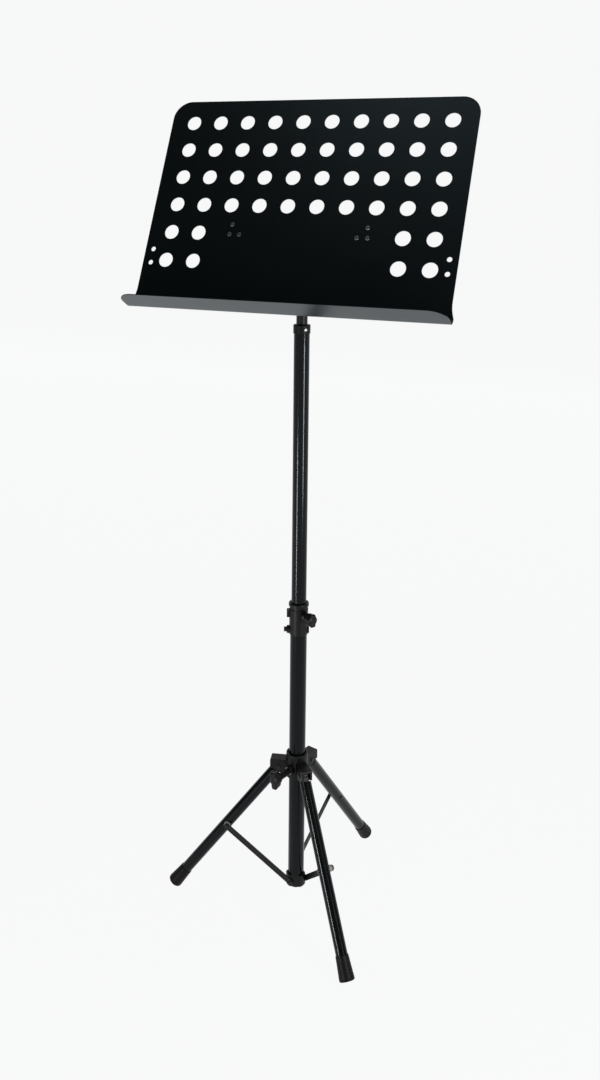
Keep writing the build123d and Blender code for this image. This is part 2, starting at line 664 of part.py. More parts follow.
# ---- hub -----------------------------------------------------------------
def make_tripod_hub():
    outer = HUB_BORE + HUB_WALL
    hub = rod(outer, HUB_BOTTOM, HUB_TOP)
    hub = fillet(hub.edges().group_by(Axis.Z)[-1], 1.5)
    nose = HUB_PIVOT_R + LUG_NOSE + LUG_OVERHANG
    shelf = (HUB_BORE + nose) / 2
    under = HUB_PIVOT_Z - LUG_UNDER
    profile = Pos(HUB_PIVOT_R, HUB_PIVOT_Z) * Circle(LUG_NOSE)
    profile += Pos(shelf, (under + LUG_TOP) / 2) * Rectangle(nose - HUB_BORE, LUG_TOP - under)
    low = HUB_PIVOT_Z - LUG_NOSE
    web = Rectangle(HUB_PIVOT_R - HUB_BORE, LUG_TOP - low)
    profile += Pos((HUB_BORE + HUB_PIVOT_R) / 2, (low + LUG_TOP) / 2) * web
    lug = extrude(Plane.XZ * profile, LUG_HALF, both=True)
    lug = fillet(lug.edges().filter_by(Axis.Y).group_by(Axis.X)[-1].sort_by(Axis.Z)[-1:], 2.5)
    slot = block((outer, nose + 5), (-SLOT_HALF, SLOT_HALF), (HUB_BOTTOM - 5, LUG_TOP - LUG_ROOF))
    hole = Pos(HUB_PIVOT_R, 0, HUB_PIVOT_Z) * Rot(90, 0, 0) * rod(HUB_PIN, -50, 50)
    boss = rod(KNOB_BOSS, 0, KNOB_BOSS_END)
    hub += hub_knob_place * fillet(boss.edges().group_by(Axis.Z)[-1], 0.8)
    for azimuth in LEG_AZIMUTHS.values():
        hub += around(azimuth, lug)
    for azimuth in LEG_AZIMUTHS.values():
        hub -= around(azimuth, slot)
        hub -= around(azimuth, hole)
    hub -= rod(HUB_BORE, 0, HUB_TOP + 1)
    return hub - hub_knob_place * knob_bore(hub_pad_end, KNOB_BOSS_END)


def make_hub_pins():
    pin = pinned(HUB_PIN, PIN_HEAD, -LUG_HALF, LUG_HALF, PIN_HEAD_HEIGHT)
    place = Pos(HUB_PIVOT_R, 0, HUB_PIVOT_Z) * Rot(90, 0, 0)
    return group(around(azimuth, place * pin) for azimuth in LEG_AZIMUTHS.values())


# ---- legs: built on azimuth 0, then turned ---------------------------------
def along_leg(distance):
    """Frame on the leg's axis: Z runs down the leg, X across it in the radial plane."""
    x = HUB_PIVOT_R + distance * leg_sin
    z = HUB_PIVOT_Z - distance * leg_cos
    return Plane(origin=(x, 0, z), x_dir=(leg_cos, 0, leg_sin), z_dir=(leg_sin, 0, -leg_cos))


def across(distance):
    """Frame at a point of the leg's axis whose Z points along the pins."""
    x = HUB_PIVOT_R + distance * leg_sin
    z = HUB_PIVOT_Z - distance * leg_cos
    return Plane(origin=(x, 0, z), x_dir=(leg_sin, 0, -leg_cos), z_dir=(0, 1, 0))


def make_leg_tube(azimuth):
    high = LEG_LENGTH - FOOT_FLOOR
    tube = along_leg(0) * pipe(LEG_RADIUS, LEG_RADIUS - LEG_WALL, LEG_TUBE_START, high)
    return around(azimuth, tube - across(STAY_ON_LEG) * rod(STAY_PIN, -50, 50))


def make_leg_eye(azimuth, pin_hole):
    """Plug in the tube's end with the eye that turns on the hub's pin."""
    neck = block((-LEG_NECK_HALF, LEG_NECK_HALF), (-EYE_HALF, EYE_HALF), (0, LEG_TUBE_START))
    plug = rod(LEG_RADIUS - LEG_WALL, LEG_TUBE_START, LEG_TUBE_START + EYE_PLUG_LENGTH)
    eye = along_leg(0) * (neck + plug)
    eye += across(0) * rod(EYE_RADIUS, -EYE_HALF, EYE_HALF)
    return around(azimuth, eye - across(0) * rod(pin_hole, -50, 50))


def make_foot(azimuth):
    """Rubber boot: a flared cup, its lower edge pressed flat on the floor."""
    top = LEG_LENGTH - FOOT_LENGTH
    outline = Polyline(
        (0, top),
        (FOOT_TOP_RADIUS, top),
        (FOOT_TOP_RADIUS + 0.5, LEG_LENGTH - FOOT_LENGTH * 0.45),
        (FOOT_RADIUS, LEG_LENGTH),
        (0, LEG_LENGTH),
        close=True,
    )
    face = make_face(outline)
    rim = [v for v in face.vertices() if v.X > FOOT_TOP_RADIUS + 1]
    face = fillet(rim, FOOT_EDGE)
    boot = revolve(Plane.XZ * face, Axis.Z)
    boot -= rod(LEG_RADIUS, top - 1, LEG_LENGTH - FOOT_FLOOR)
    boot = along_leg(0) * boot
    return around(azimuth, boot - block((0, 400), (-50, 50), (-50, 0)))


def make_leg_rivet(azimuth):
    outer = STAY_PLANE + STAY_THICK + FACE_GAP
    rivet = pinned(STAY_PIN, STAY_PIN_HEAD, -LEG_RADIUS, outer, STAY_PIN_HEAD_HEIGHT)
    return around(azimuth, across(STAY_ON_LEG) * rivet)


def make_spacer(azimuth):
    spacer = pipe(SPACER_RADIUS, STAY_PIN, 0, STAY_PLANE - FACE_GAP)
    spacer = across(STAY_ON_LEG) * spacer - along_leg(0) * rod(LEG_RADIUS, 0, LEG_LENGTH)
    return around(azimuth, spacer)


def make_stay(azimuth):
    """Flat bar with round ends, beside its leg."""
    run = (sin(radians(STAY_ANGLE)), 0, cos(radians(STAY_ANGLE)))
    origin = (STAY_PIVOT_R, STAY_PLANE, STAY_PIVOT_Z)
    plane = Plane(origin=origin, x_dir=run, z_dir=(0, 1, 0))
    bar = Pos(STAY_LENGTH / 2, 0) * SlotCenterToCenter(STAY_LENGTH, STAY_WIDTH)
    holes = Circle(STAY_PIN + RUNNING) + Pos(STAY_LENGTH, 0) * Circle(STAY_PIN + RUNNING)
    return around(azimuth, extrude(plane * (bar - holes), STAY_THICK))


# ---- all nodes ------------------------------------------------------------
def make_nodes():
    nodes = {
        "desk_sheet": make_desk_sheet(),
        "desk_bracket_left": make_bracket(-1),
        "desk_bracket_right": make_bracket(1),
        "desk_rivets": make_desk_rivets(),
        "tilt_tube": make_tilt_tube(),
        "tilt_clamp": make_tilt_clamp(),
        "tilt_bush": make_tilt_bush(),
        "tilt_bolt": make_tilt_bolt(),
        "tilt_washer": make_tilt_washer(),
        "tilt_wing_nut": make_tilt_wing_nut(),
        "stem": make_stem(),
        "stem_pin": make_stem_pin(),
        "upper_tube": make_upper_tube(),
        "upper_tube_cap": make_tube_cap(),
        "cap_screw": make_cap_screw(),
        "guide_bush": make_guide_bush(),
        "lower_tube": make_lower_tube(),
        "height_collar": make_height_collar(),
        "collar_liner": make_collar_liner(),
        "collar_screws": make_collar_screws(),
        "collar_insert": clamp_place * insert_sleeve(CLAMP_BOSS_END),
        "collar_pad": make_pad(clamp_place, clamp_inner, clamp_pad_end),
        "height_knob": make_knob(
            clamp_place * Rot(0, 0, CLAMP_KNOB_TURN), CLAMP_KNOB_START, CLAMP_BOSS_END, CLAMP_KNOB_SPAN
        ),
        "height_stud": make_stud(clamp_place, clamp_pad_end, CLAMP_KNOB_START),
        "height_washer": clamp_place * knob_washer(CLAMP_BOSS_END),
        "lower_spider": make_lower_spider(),
        "spider_pins": make_spider_pins(),
        "mast_bumper": make_mast_bumper(),
        "tripod_hub": make_tripod_hub(),
        "hub_pins": make_hub_pins(),
        "hub_insert": hub_knob_place * insert_sleeve(KNOB_BOSS_END),
        "hub_pad": make_pad(hub_knob_place, hub_inner, hub_pad_end),
        "hub_knob": make_knob(
            hub_knob_place * Rot(0, 0, HUB_KNOB_TURN), HUB_KNOB_START, KNOB_BOSS_END, HUB_KNOB_SPAN
        ),
        "hub_stud": make_stud(hub_knob_place, hub_pad_end, HUB_KNOB_START),
        "hub_washer": hub_knob_place * knob_washer(KNOB_BOSS_END),
    }
    for name, azimuth in LEG_AZIMUTHS.items():
        play = RUNNING if name == "front" else OPEN_PIVOT_PLAY
        nodes[f"leg_tube_{name}"] = make_leg_tube(azimuth)
        nodes[f"leg_eye_{name}"] = make_leg_eye(azimuth, HUB_PIN + play)
        nodes[f"foot_{name}"] = make_foot(azimuth)
        nodes[f"leg_rivet_{name}"] = make_leg_rivet(azimuth)
        nodes[f"spacer_{name}"] = make_spacer(azimuth)
        nodes[f"stay_{name}"] = make_stay(azimuth)
    return nodes


os.makedirs("parts", exist_ok=True)
for node_name, shape in make_nodes().items():
    export_step(shape, f"parts/{node_name}.step")
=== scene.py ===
"""Music stand: finishes, moulded parts, floor, lights and camera round the fixed frame."""

import json

import bpy
import numpy as np
from mathutils import Matrix, Vector


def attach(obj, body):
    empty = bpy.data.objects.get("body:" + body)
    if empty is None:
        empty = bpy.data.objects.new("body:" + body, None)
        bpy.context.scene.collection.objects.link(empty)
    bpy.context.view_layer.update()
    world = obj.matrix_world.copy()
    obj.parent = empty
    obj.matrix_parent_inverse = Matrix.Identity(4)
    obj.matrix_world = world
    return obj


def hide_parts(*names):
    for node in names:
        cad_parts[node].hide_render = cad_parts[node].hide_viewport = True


bl_info = {
    "name": "Music Stand",
    "version": (1, 0, 0),
    "blender": (4, 5, 0),
    "location": "View3D > Sidebar > Stand",
    "description": "Builds the finishes and moulded parts of a folding music stand",
    "category": "Object",
}

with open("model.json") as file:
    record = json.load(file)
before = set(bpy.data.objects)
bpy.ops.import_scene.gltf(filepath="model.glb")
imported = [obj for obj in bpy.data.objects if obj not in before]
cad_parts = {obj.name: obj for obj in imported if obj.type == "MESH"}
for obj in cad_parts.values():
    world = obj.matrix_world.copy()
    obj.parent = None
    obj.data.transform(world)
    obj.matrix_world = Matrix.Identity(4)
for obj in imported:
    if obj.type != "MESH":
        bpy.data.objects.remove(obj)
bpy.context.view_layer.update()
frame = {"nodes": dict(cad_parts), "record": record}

# ---- where things are: metres, and degrees round the mast ---------------------
LEGS = {"front": -46.7, "rear": 73.3, "left": 193.3}
LEG_ANGLE = np.radians(36.8)           # a leg's lean from the mast
HUB_PIVOT = np.array([0.032, 0.2665])  # radius and height of a leg's pin
FOOT_EDGE = 0.003                      # rounding of a foot's floor end
FOOT_FLAT = 0.0004                     # pressed flat where it stands on the floor
FOOT_FLOOR = 0.004                     # rubber under the tube's end
FOOT_BORE = 0.01005                    # radius of the hole for the tube
FOOT_RIM = 0.0009                      # plain rim round the bore
GRIP_START, GRIP_END = 0.28, 0.80      # shares of the length, from the floor end
CLAMP_AZIMUTH = -34.0
CLAMP_Z = 0.5575
CLAMP_TURN = 0.0
CLAMP_BOSS_END = 0.022    # ends and starts are distances from the mast's axis
CLAMP_WINGS_START = 0.027
HUB_AZIMUTH = 253.3
HUB_Z = 0.268
HUB_TURN = 8.0
HUB_BOSS_END = 0.024
HUB_WINGS_START = 0.051
KNOB_BASE = 0.0014        # from the end of a boss to the knob's inner face
WING_FLARE = 0.0035       # how much further the wings reach at their outer end
WING_HOLLOW = 0.10        # share by which the wings' sides are hollowed
HOLLOW_PLACE = 0.92       # |cos a| of the deepest hollow
HOLLOW_SPREAD = 0.004
HUB_SINK = 0.0015         # how far a knob's round middle lies below its wings
TINY = 1e-5               # keeps radii off zero
UP = np.array([0.0, 0.0, 1.0])

# ---- colours and values shared by several finishes ---------------------------
WHITE = (1.0, 1.0, 1.0)
PRIMER = (0.045, 0.045, 0.05)
DUST = (0.34, 0.33, 0.31)
SHEEN_ROUGHNESS = 0.35
BUMP_STRENGTH = 0.6

# ---- floor, lights and camera --------------------------------------------------
FLOOR_HALF_WIDTH = 14.0
FLOOR_START = -11.0       # along Y, behind the camera
FLOOR_REACH = 5.0         # where the floor begins to curve up
FLOOR_CURVE = 2.0
WALL_HEIGHT = 7.0
FRONT_LEG_AIM = (0.09, -0.10, 0.13)
LIGHTS = {                # name: place, aim, (width, height), watts
    "right strip": ((0.87, -0.44, 0.66), FRONT_LEG_AIM, (0.09, 0.60), 9.0),
    "left strip": ((-0.49, -1.15, 0.32), FRONT_LEG_AIM, (0.08, 0.50), 9.0),
    "top": ((0.0, -0.4, 3.6), (0.0, 0.0, 0.6), (2.0, 2.0), 8.0),
}
CAMERA_PLACE = (0.5715, -1.4804, 1.2565)
CAMERA_TURN = (20.78, -13.45, 0.71)    # yaw, pitch and roll in degrees


# ---- numpy surfaces ----------------------------------------------------------
def add_object(name, data):
    """An object in the scene's own collection."""
    item = bpy.data.objects.new(name, data)
    bpy.context.scene.collection.objects.link(item)
    return item


def add_surface(name, points, faces, material):
    """A smooth mesh object from points (n, 3) and a list of quads or triangles."""
    mesh = bpy.data.meshes.new(name)
    mesh.from_pydata(points.tolist(), [], faces)
    mesh.polygons.foreach_set("use_smooth", np.ones(len(mesh.polygons), bool))
    mesh.update()
    mesh.materials.append(material)
    return add_object(name, mesh)


def add_piece(name, grid, body, slot, replaced):
    """A closed piece from a grid, riding on a body in place of its plain nodes."""
    points, faces = closed_grid(grid)
    piece = add_surface(name, points, faces, material_for(slot))
    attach(piece, body)
    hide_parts(*replaced)


def closed_grid(grid):
    """Quads for a grid (rows, columns, 3) that closes round its columns.

    The first and last rows are poles: each is one point, joined by triangles.
    """
    rows, columns = grid.shape[:2]
    ring = grid[1:-1].reshape(-1, 3)
    points = np.vstack((ring, grid[0, :1], grid[-1, :1]))
    index = np.arange((rows - 2) * columns).reshape(rows - 2, columns)
    along = np.roll(index, -1, axis=1)
    quads = np.stack((index[:-1], along[:-1], along[1:], index[1:]), axis=-1).reshape(-1, 4)
    low, high = len(ring), len(ring) + 1
    start = np.stack((np.full(columns, low), along[0], index[0]), axis=-1)
    end = np.stack((np.full(columns, high), index[-1], along[-1]), axis=-1)
    return points, quads.tolist() + start.tolist() + end.tolist()


def resample(corners, count):
    """Points at even steps of length along a run of (radius, height) corners."""
    corners = np.asarray(corners, float)
    steps = np.hypot(*np.diff(corners, axis=0).T)
    length = np.concatenate(([0.0], np.cumsum(steps)))
    place = np.linspace(0.0, length[-1], count)
    return np.stack([np.interp(place, length, corners[:, k]) for k in (0, 1)], axis=1)


def rounded(corners, radii, steps=6):
    """A run of (radius, height) corners with each inner corner rounded by an arc.

    The arc is a quadratic curve from a point before the corner to one after it:
    P(t) = (1-t)^2 A + 2t(1-t) C + t^2 B.
    """
    corners = np.asarray(corners, float)
    t = np.linspace(0.0, 1.0, steps)[:, None]
    run = [corners[:1]]
    for before, corner, after, radius in zip(corners, corners[1:], corners[2:], radii):
        a = corner + (before - corner) * radius / np.linalg.norm(before - corner)
        b = corner + (after - corner) * radius / np.linalg.norm(after - corner)
        run.append((1 - t) ** 2 * a + 2 * t * (1 - t) * corner + t**2 * b)
    run.append(corners[-1:])
    return np.vstack(run)


def turned(profile, columns):
    """A profile (radius, height) turned about Z: (r cos a, r sin a, h)."""
    angle = np.linspace(0.0, 2 * np.pi, columns, endpoint=False)
    radius, height = profile[:, :1], profile[:, 1:]
    x, y = radius * np.cos(angle), radius * np.sin(angle)
    return np.stack((x, y, np.broadcast_to(height, x.shape)), axis=-1)


def placed(grid, origin, x_axis, z_axis):
    """Carry points from a local frame to the frame of the stand."""
    y_axis = np.cross(z_axis, x_axis)
    return origin + grid @ np.stack((x_axis, y_axis, z_axis))


def outward(azimuth):
    """Level unit vector away from the mast, at an azimuth in degrees."""
    a = np.radians(azimuth)
    return np.array([np.cos(a), np.sin(a), 0.0])


def leg_axes(azimuth):
    """Top of a leg's axis, the direction down the leg, and the one across it."""
    out = outward(azimuth)
    down = out * np.sin(LEG_ANGLE) - UP * np.cos(LEG_ANGLE)
    across = out * np.cos(LEG_ANGLE) + UP * np.sin(LEG_ANGLE)
    return out * HUB_PIVOT[0] + UP * HUB_PIVOT[1], down, across


# ---- shared shader effects ---------------------------------------------------
def group_shell(name, inputs, outputs):
    """An empty node group with float inputs {name: default} and typed outputs."""
    tree = bpy.data.node_groups.new(name, "ShaderNodeTree")
    for label, value in inputs.items():
        socket = tree.interface.new_socket(label, in_out="INPUT", socket_type="NodeSocketFloat")
        socket.default_value = value
    for label, kind in outputs.items():
        tree.interface.new_socket(label, in_out="OUTPUT", socket_type=kind)
    return tree, tree.nodes.new("NodeGroupInput"), tree.nodes.new("NodeGroupOutput")


def math_node(tree, operation, first, second):
    """A math node with sockets or numbers as its two inputs."""
    node = tree.nodes.new("ShaderNodeMath")
    node.operation = operation
    for socket, value in zip(node.inputs, (first, second)):
        if isinstance(value, bpy.types.NodeSocket):
            tree.links.new(value, socket)
        else:
            socket.default_value = value
    return node.outputs[0]


def noise_node(tree, scale, detail=4.0):
    """3-D noise on Object coordinates; scale is a socket or a number per metre."""
    place = tree.nodes.new("ShaderNodeTexCoord")
    node = tree.nodes.new("ShaderNodeTexNoise")
    node.inputs["Detail"].default_value = detail
    tree.links.new(place.outputs["Object"], node.inputs["Vector"])
    if isinstance(scale, bpy.types.NodeSocket):
        tree.links.new(scale, node.inputs["Scale"])
    else:
        node.inputs["Scale"].default_value = scale
    return node.outputs["Fac"]


def make_surface_grain():
    """Height of fine grain laid over a slower unevenness, both seeded by place."""
    tree, inside, outside = group_shell(
        "Surface Grain",
        {"Fine Scale": 2500.0, "Broad Scale": 180.0, "Broad Share": 0.4},
        {"Height": "NodeSocketFloat"},
    )
    fine = noise_node(tree, inside.outputs["Fine Scale"], 2.0)
    broad = noise_node(tree, inside.outputs["Broad Scale"], 3.0)
    share = math_node(tree, "MULTIPLY", broad, inside.outputs["Broad Share"])
    tree.links.new(math_node(tree, "ADD", fine, share), outside.inputs["Height"])
    return tree


def make_handling_marks():
    """Mask of soft smudges where hands and cloths have been."""
    tree, inside, outside = group_shell(
        "Handling Marks",
        {"Scale": 14.0, "Amount": 0.12},
        {"Mask": "NodeSocketFloat"},
    )
    marks = noise_node(tree, inside.outputs["Scale"], 6.0)
    centred = math_node(tree, "SUBTRACT", marks, 0.5)
    amount = math_node(tree, "MULTIPLY", centred, inside.outputs["Amount"])
    tree.links.new(amount, outside.inputs["Mask"])
    return tree


def make_edge_wear():
    """Mask of worn edges: how far a rounded normal leaves the true one, times noise."""
    tree, inside, outside = group_shell(
        "Edge Wear",
        {"Radius": 0.0006, "Amount": 1.0},
        {"Mask": "NodeSocketFloat"},
    )
    bevel = tree.nodes.new("ShaderNodeBevel")
    bevel.samples = 4
    tree.links.new(inside.outputs["Radius"], bevel.inputs["Radius"])
    true = tree.nodes.new("ShaderNodeNewGeometry")
    dot = tree.nodes.new("ShaderNodeVectorMath")
    dot.operation = "DOT_PRODUCT"
    tree.links.new(bevel.outputs["Normal"], dot.inputs[0])
    tree.links.new(true.outputs["Normal"], dot.inputs[1])
    turn = math_node(tree, "SUBTRACT", 1.0, dot.outputs["Value"])
    rough = math_node(tree, "MULTIPLY", turn, noise_node(tree, 260.0, 5.0))
    mask = math_node(tree, "MULTIPLY", rough, inside.outputs["Amount"])
    clamp = tree.nodes.new("ShaderNodeClamp")
    tree.links.new(mask, clamp.inputs["Value"])
    tree.links.new(clamp.outputs[0], outside.inputs["Mask"])
    return tree


def make_settled_dust():
    """Mask of dust on surfaces that face up, broken by noise."""
    tree, inside, outside = group_shell(
        "Settled Dust",
        {"Amount": 0.2, "Scale": 90.0},
        {"Mask": "NodeSocketFloat"},
    )
    place = tree.nodes.new("ShaderNodeTexCoord")
    split = tree.nodes.new("ShaderNodeSeparateXYZ")
    tree.links.new(place.outputs["Normal"], split.inputs[0])
    facing = math_node(tree, "MAXIMUM", split.outputs["Z"], 0.0)
    broken = math_node(tree, "MULTIPLY", facing, noise_node(tree, inside.outputs["Scale"], 6.0))
    mask = math_node(tree, "MULTIPLY", broken, inside.outputs["Amount"])
    tree.links.new(mask, outside.inputs["Mask"])
    return tree


GROUP_MAKERS = {
    "Surface Grain": make_surface_grain,
    "Handling Marks": make_handling_marks,
    "Edge Wear": make_edge_wear,
    "Settled Dust": make_settled_dust,
}


def use_group(tree, name, **values):
    """Place a shared effect in a material, with its own values."""
    group = bpy.data.node_groups.get(name) or GROUP_MAKERS[name]()
    node = tree.nodes.new("ShaderNodeGroup")
    node.node_tree = group
    for label, value in values.items():
        node.inputs[label.replace("_", " ")].default_value = value
    return node.outputs[0]


def mixed(tree, mask, first, second):
    """Colour between two, by a mask."""
    node = tree.nodes.new("ShaderNodeMix")
    node.data_type = "RGBA"
    tree.links.new(mask, node.inputs["Factor"])
    for socket, value in ((node.inputs["A"], first), (node.inputs["B"], second)):
        if isinstance(value, bpy.types.NodeSocket):
            tree.links.new(value, socket)
        else:
            socket.default_value = (*value, 1.0)
    return node.outputs["Result"]


def finish_material(name, colour, roughness, *, grain, metallic=0.0, depth=0.00004,
                    marks=0.1, worn=PRIMER, wear=0.0, dust=0.0, specular=0.5,
                    tint=WHITE, sheen=0.0):
    """A finish from the shared effects.

    Grain goes into the normal, handling marks into the roughness, and worn edges
    and dust into the colour. Grain is its fine and broad scale per metre, and depth
    is its height in metres.
    """
    material = bpy.data.materials.new(name)
    material.use_nodes = True
    tree = material.node_tree
    shader = tree.nodes["Principled BSDF"]
    shader.inputs["Metallic"].default_value = metallic
    shader.inputs["Specular IOR Level"].default_value = specular
    shader.inputs["Specular Tint"].default_value = (*tint, 1.0)
    shader.inputs["Sheen Weight"].default_value = sheen
    shader.inputs["Sheen Roughness"].default_value = SHEEN_ROUGHNESS
    shader.inputs["Sheen Tint"].default_value = (*tint, 1.0)
    shade = mixed(tree, use_group(tree, "Settled Dust", Amount=dust), colour, DUST)
    if wear:
        edge = use_group(tree, "Edge Wear", Amount=wear)
        shade = mixed(tree, edge, shade, worn)
    tree.links.new(shade, shader.inputs["Base Color"])
    smudge = use_group(tree, "Handling Marks", Amount=marks)
    tree.links.new(math_node(tree, "ADD", smudge, roughness), shader.inputs["Roughness"])
    height = use_group(tree, "Surface Grain", Fine_Scale=grain[0], Broad_Scale=grain[1])
    bump = tree.nodes.new("ShaderNodeBump")
    bump.inputs["Distance"].default_value = depth
    bump.inputs["Strength"].default_value = BUMP_STRENGTH
    tree.links.new(height, bump.inputs["Height"])
    tree.links.new(bump.outputs["Normal"], shader.inputs["Normal"])
    return material


def bare_metal(name, colour, roughness):
    """Bare or plated metal with a very fine grain."""
    return finish_material(name, colour, roughness, metallic=1.0, marks=0.25, dust=0.1,
                           grain=(5000.0, 900.0), depth=0.00001)


# ---- sizes and colours that a user would change -------------------------------
def colour_setting(name, description, default):
    """A colour property of the stand."""
    return bpy.props.FloatVectorProperty(
        name=name, description=description, default=default, subtype="COLOR", min=0.0, max=1.0
    )


def gloss_setting(name, default):
    """A roughness property of the stand."""
    return bpy.props.FloatProperty(
        name=name, description="Higher is duller", default=default, min=0.0, max=1.0,
        subtype="FACTOR"
    )


def length_setting(name, description, default):
    """A length property of the stand, in metres."""
    return bpy.props.FloatProperty(
        name=name, description=description, default=default, unit="LENGTH"
    )


class StandFinish(bpy.types.PropertyGroup):
    """Colours and gloss of the stand."""

    desk_colour: colour_setting("Desk", "Powder coat of the desk sheet", (0.0008, 0.0009, 0.0010))
    tube_colour: colour_setting("Tubes", "Gloss paint of mast and legs", (0.0008, 0.0010, 0.0012))
    plastic_colour: colour_setting("Mouldings", "Hub, collar and knobs", (0.0014, 0.0015, 0.0017))
    rubber_colour: colour_setting("Feet", "Rubber of the feet", (0.0012, 0.0012, 0.0013))
    steel_colour: colour_setting("Bright steel", "Rivets, pins and washers", (0.24, 0.24, 0.24))
    desk_roughness: gloss_setting("Desk roughness", 0.30)
    tube_roughness: gloss_setting("Tube roughness", 0.16)


class StandShape(bpy.types.PropertyGroup):
    """Sizes of the moulded parts."""

    foot_radius: length_setting("Foot radius", "At the floor end", 0.0132)
    foot_top: length_setting("Foot top radius", "At the cuff", 0.0109)
    foot_length: length_setting("Foot length", "Along the leg", 0.039)
    foot_rings: bpy.props.IntProperty(
        name="Grip rings", description="Raised rings round a foot", default=4, min=0
    )
    ring_depth: length_setting("Grip depth", "Groove between rings", 0.0002)
    hub_knob_span: length_setting("Hub wing reach", "Wing tip from the stud", 0.0165)
    height_knob_span: length_setting("Collar wing reach", "Wing tip from the stud", 0.0125)
    knob_depth: length_setting("Wing depth", "Along the stud", 0.017)
    knob_hub: length_setting("Knob hub radius", "Round middle", 0.009)
    knob_thick: length_setting("Wing thickness", "Across a wing", 0.010)
    knob_neck: length_setting("Knob neck radius", "Between boss and wings", 0.006)


def finishes():
    """Colours and gloss, as set in the scene."""
    return bpy.context.scene.stand_finish


def shape():
    """Sizes of the moulded parts, as set in the scene."""
    return bpy.context.scene.stand_shape


def material_for(slot):
    """The material of a slot, made when it is first asked for."""
    name = slot.replace("_", " ").title()
    return bpy.data.materials.get(name) or MATERIAL_MAKERS[slot](name)


def desk_paint(name):
    """Fine-textured black powder coat, worn to grey primer on its edges."""
    f = finishes()
    return finish_material(name, tuple(f.desk_colour), f.desk_roughness, marks=0.10,
                           grain=(1400.0, 220.0), dust=0.015, tint=(0.62, 0.88, 1.0),
                           sheen=0.06, wear=0.5)


def tube_paint(name):
    """Glossy black paint with slight orange peel."""
    f = finishes()
    return finish_material(name, tuple(f.tube_colour), f.tube_roughness, marks=0.08,
                           grain=(600.0, 120.0), depth=0.000002, dust=0.02, specular=0.17,
                           tint=(0.84, 0.95, 1.0), wear=0.4)


def black_plastic(name):
    """Moulded nylon with a fine spark-eroded grain."""
    return finish_material(name, tuple(finishes().plastic_colour), 0.42, marks=0.12,
                           grain=(2200.0, 300.0), depth=0.00007, dust=0.03, specular=0.18,
                           worn=(0.03, 0.03, 0.032), wear=0.6)


def foot_rubber(name):
    """Dull rubber with dust in its grain."""
    return finish_material(name, tuple(finishes().rubber_colour), 0.48, marks=0.2,
                           grain=(1600.0, 240.0), depth=0.00009, dust=0.01, specular=0.12,
                           worn=(0.02, 0.02, 0.02), wear=0.3)


def bright_steel(name):
    """Zinc-plated steel of rivets, pins and washers."""
    return bare_metal(name, tuple(finishes().steel_colour), 0.36)


def black_steel(name):
    """Blackened steel bar with bare metal on its corners."""
    return finish_material(name, (0.0030, 0.0034, 0.0038), 0.34, marks=0.14,
                           grain=(1800.0, 260.0), dust=0.02, specular=0.25,
                           worn=(0.10, 0.10, 0.10), wear=0.5)


def grey_nylon(name):
    """Plain nylon of bushes, liner and pads."""
    return finish_material(name, (0.20, 0.20, 0.19), 0.55, grain=(1500.0, 200.0),
                           depth=0.00005, dust=0.05)


def brass(name):
    """Turned brass of the threaded inserts."""
    return bare_metal(name, (0.62, 0.45, 0.20), 0.32)


MATERIAL_MAKERS = {
    maker.__name__: maker
    for maker in (desk_paint, tube_paint, black_plastic, foot_rubber, bright_steel,
                  black_steel, grey_nylon, brass)
}


# ---- moulded parts -------------------------------------------------------------
def make_foot(name, azimuth):
    """Rubber foot: a closed profile turned about the leg, with grip rings.

    The outer wall's radius is the line from cuff to floor end plus a ring wave,
    h * max(0, sin)^2, on its middle stretch. What would lie under the floor is
    pressed flat: z = max(z, 0).
    """
    s = shape()
    top, down, across = leg_axes(azimuth)
    drop = (s.foot_radius - FOOT_EDGE) * np.sin(LEG_ANGLE)
    drop += FOOT_EDGE * (1 - np.cos(LEG_ANGLE)) - FOOT_FLAT
    length = (HUB_PIVOT[1] - drop) / np.cos(LEG_ANGLE)
    cuff = length - s.foot_length
    outer = [(0.0, length), (s.foot_radius, length), (s.foot_top, cuff), (FOOT_BORE, cuff)]
    inner = [(FOOT_BORE, length - FOOT_FLOOR), (0.0, length - FOOT_FLOOR)]
    run = rounded(outer + inner, (FOOT_EDGE * 1.2, 0.0007, 0.0005, 0.0004))
    profile = resample(run, 150)
    share = (length - profile[:, 1]) / s.foot_length
    on_wall = (profile[:, 0] > FOOT_BORE + FOOT_RIM) & (share > GRIP_START) & (share < GRIP_END)
    along = (share - GRIP_START) / (GRIP_END - GRIP_START)
    wave = np.maximum(0.0, np.sin(along * np.pi * 2 * s.foot_rings)) ** 2
    profile[:, 0] -= np.where(on_wall, s.ring_depth * wave, 0.0)
    grid = placed(turned(profile, 96), top, across, down)
    grid[..., 2] = np.maximum(grid[..., 2], 0.0)
    add_piece(f"rubber_foot_{name}", grid[::-1], f"leg_{name}", "foot_rubber", (f"foot_{name}",))


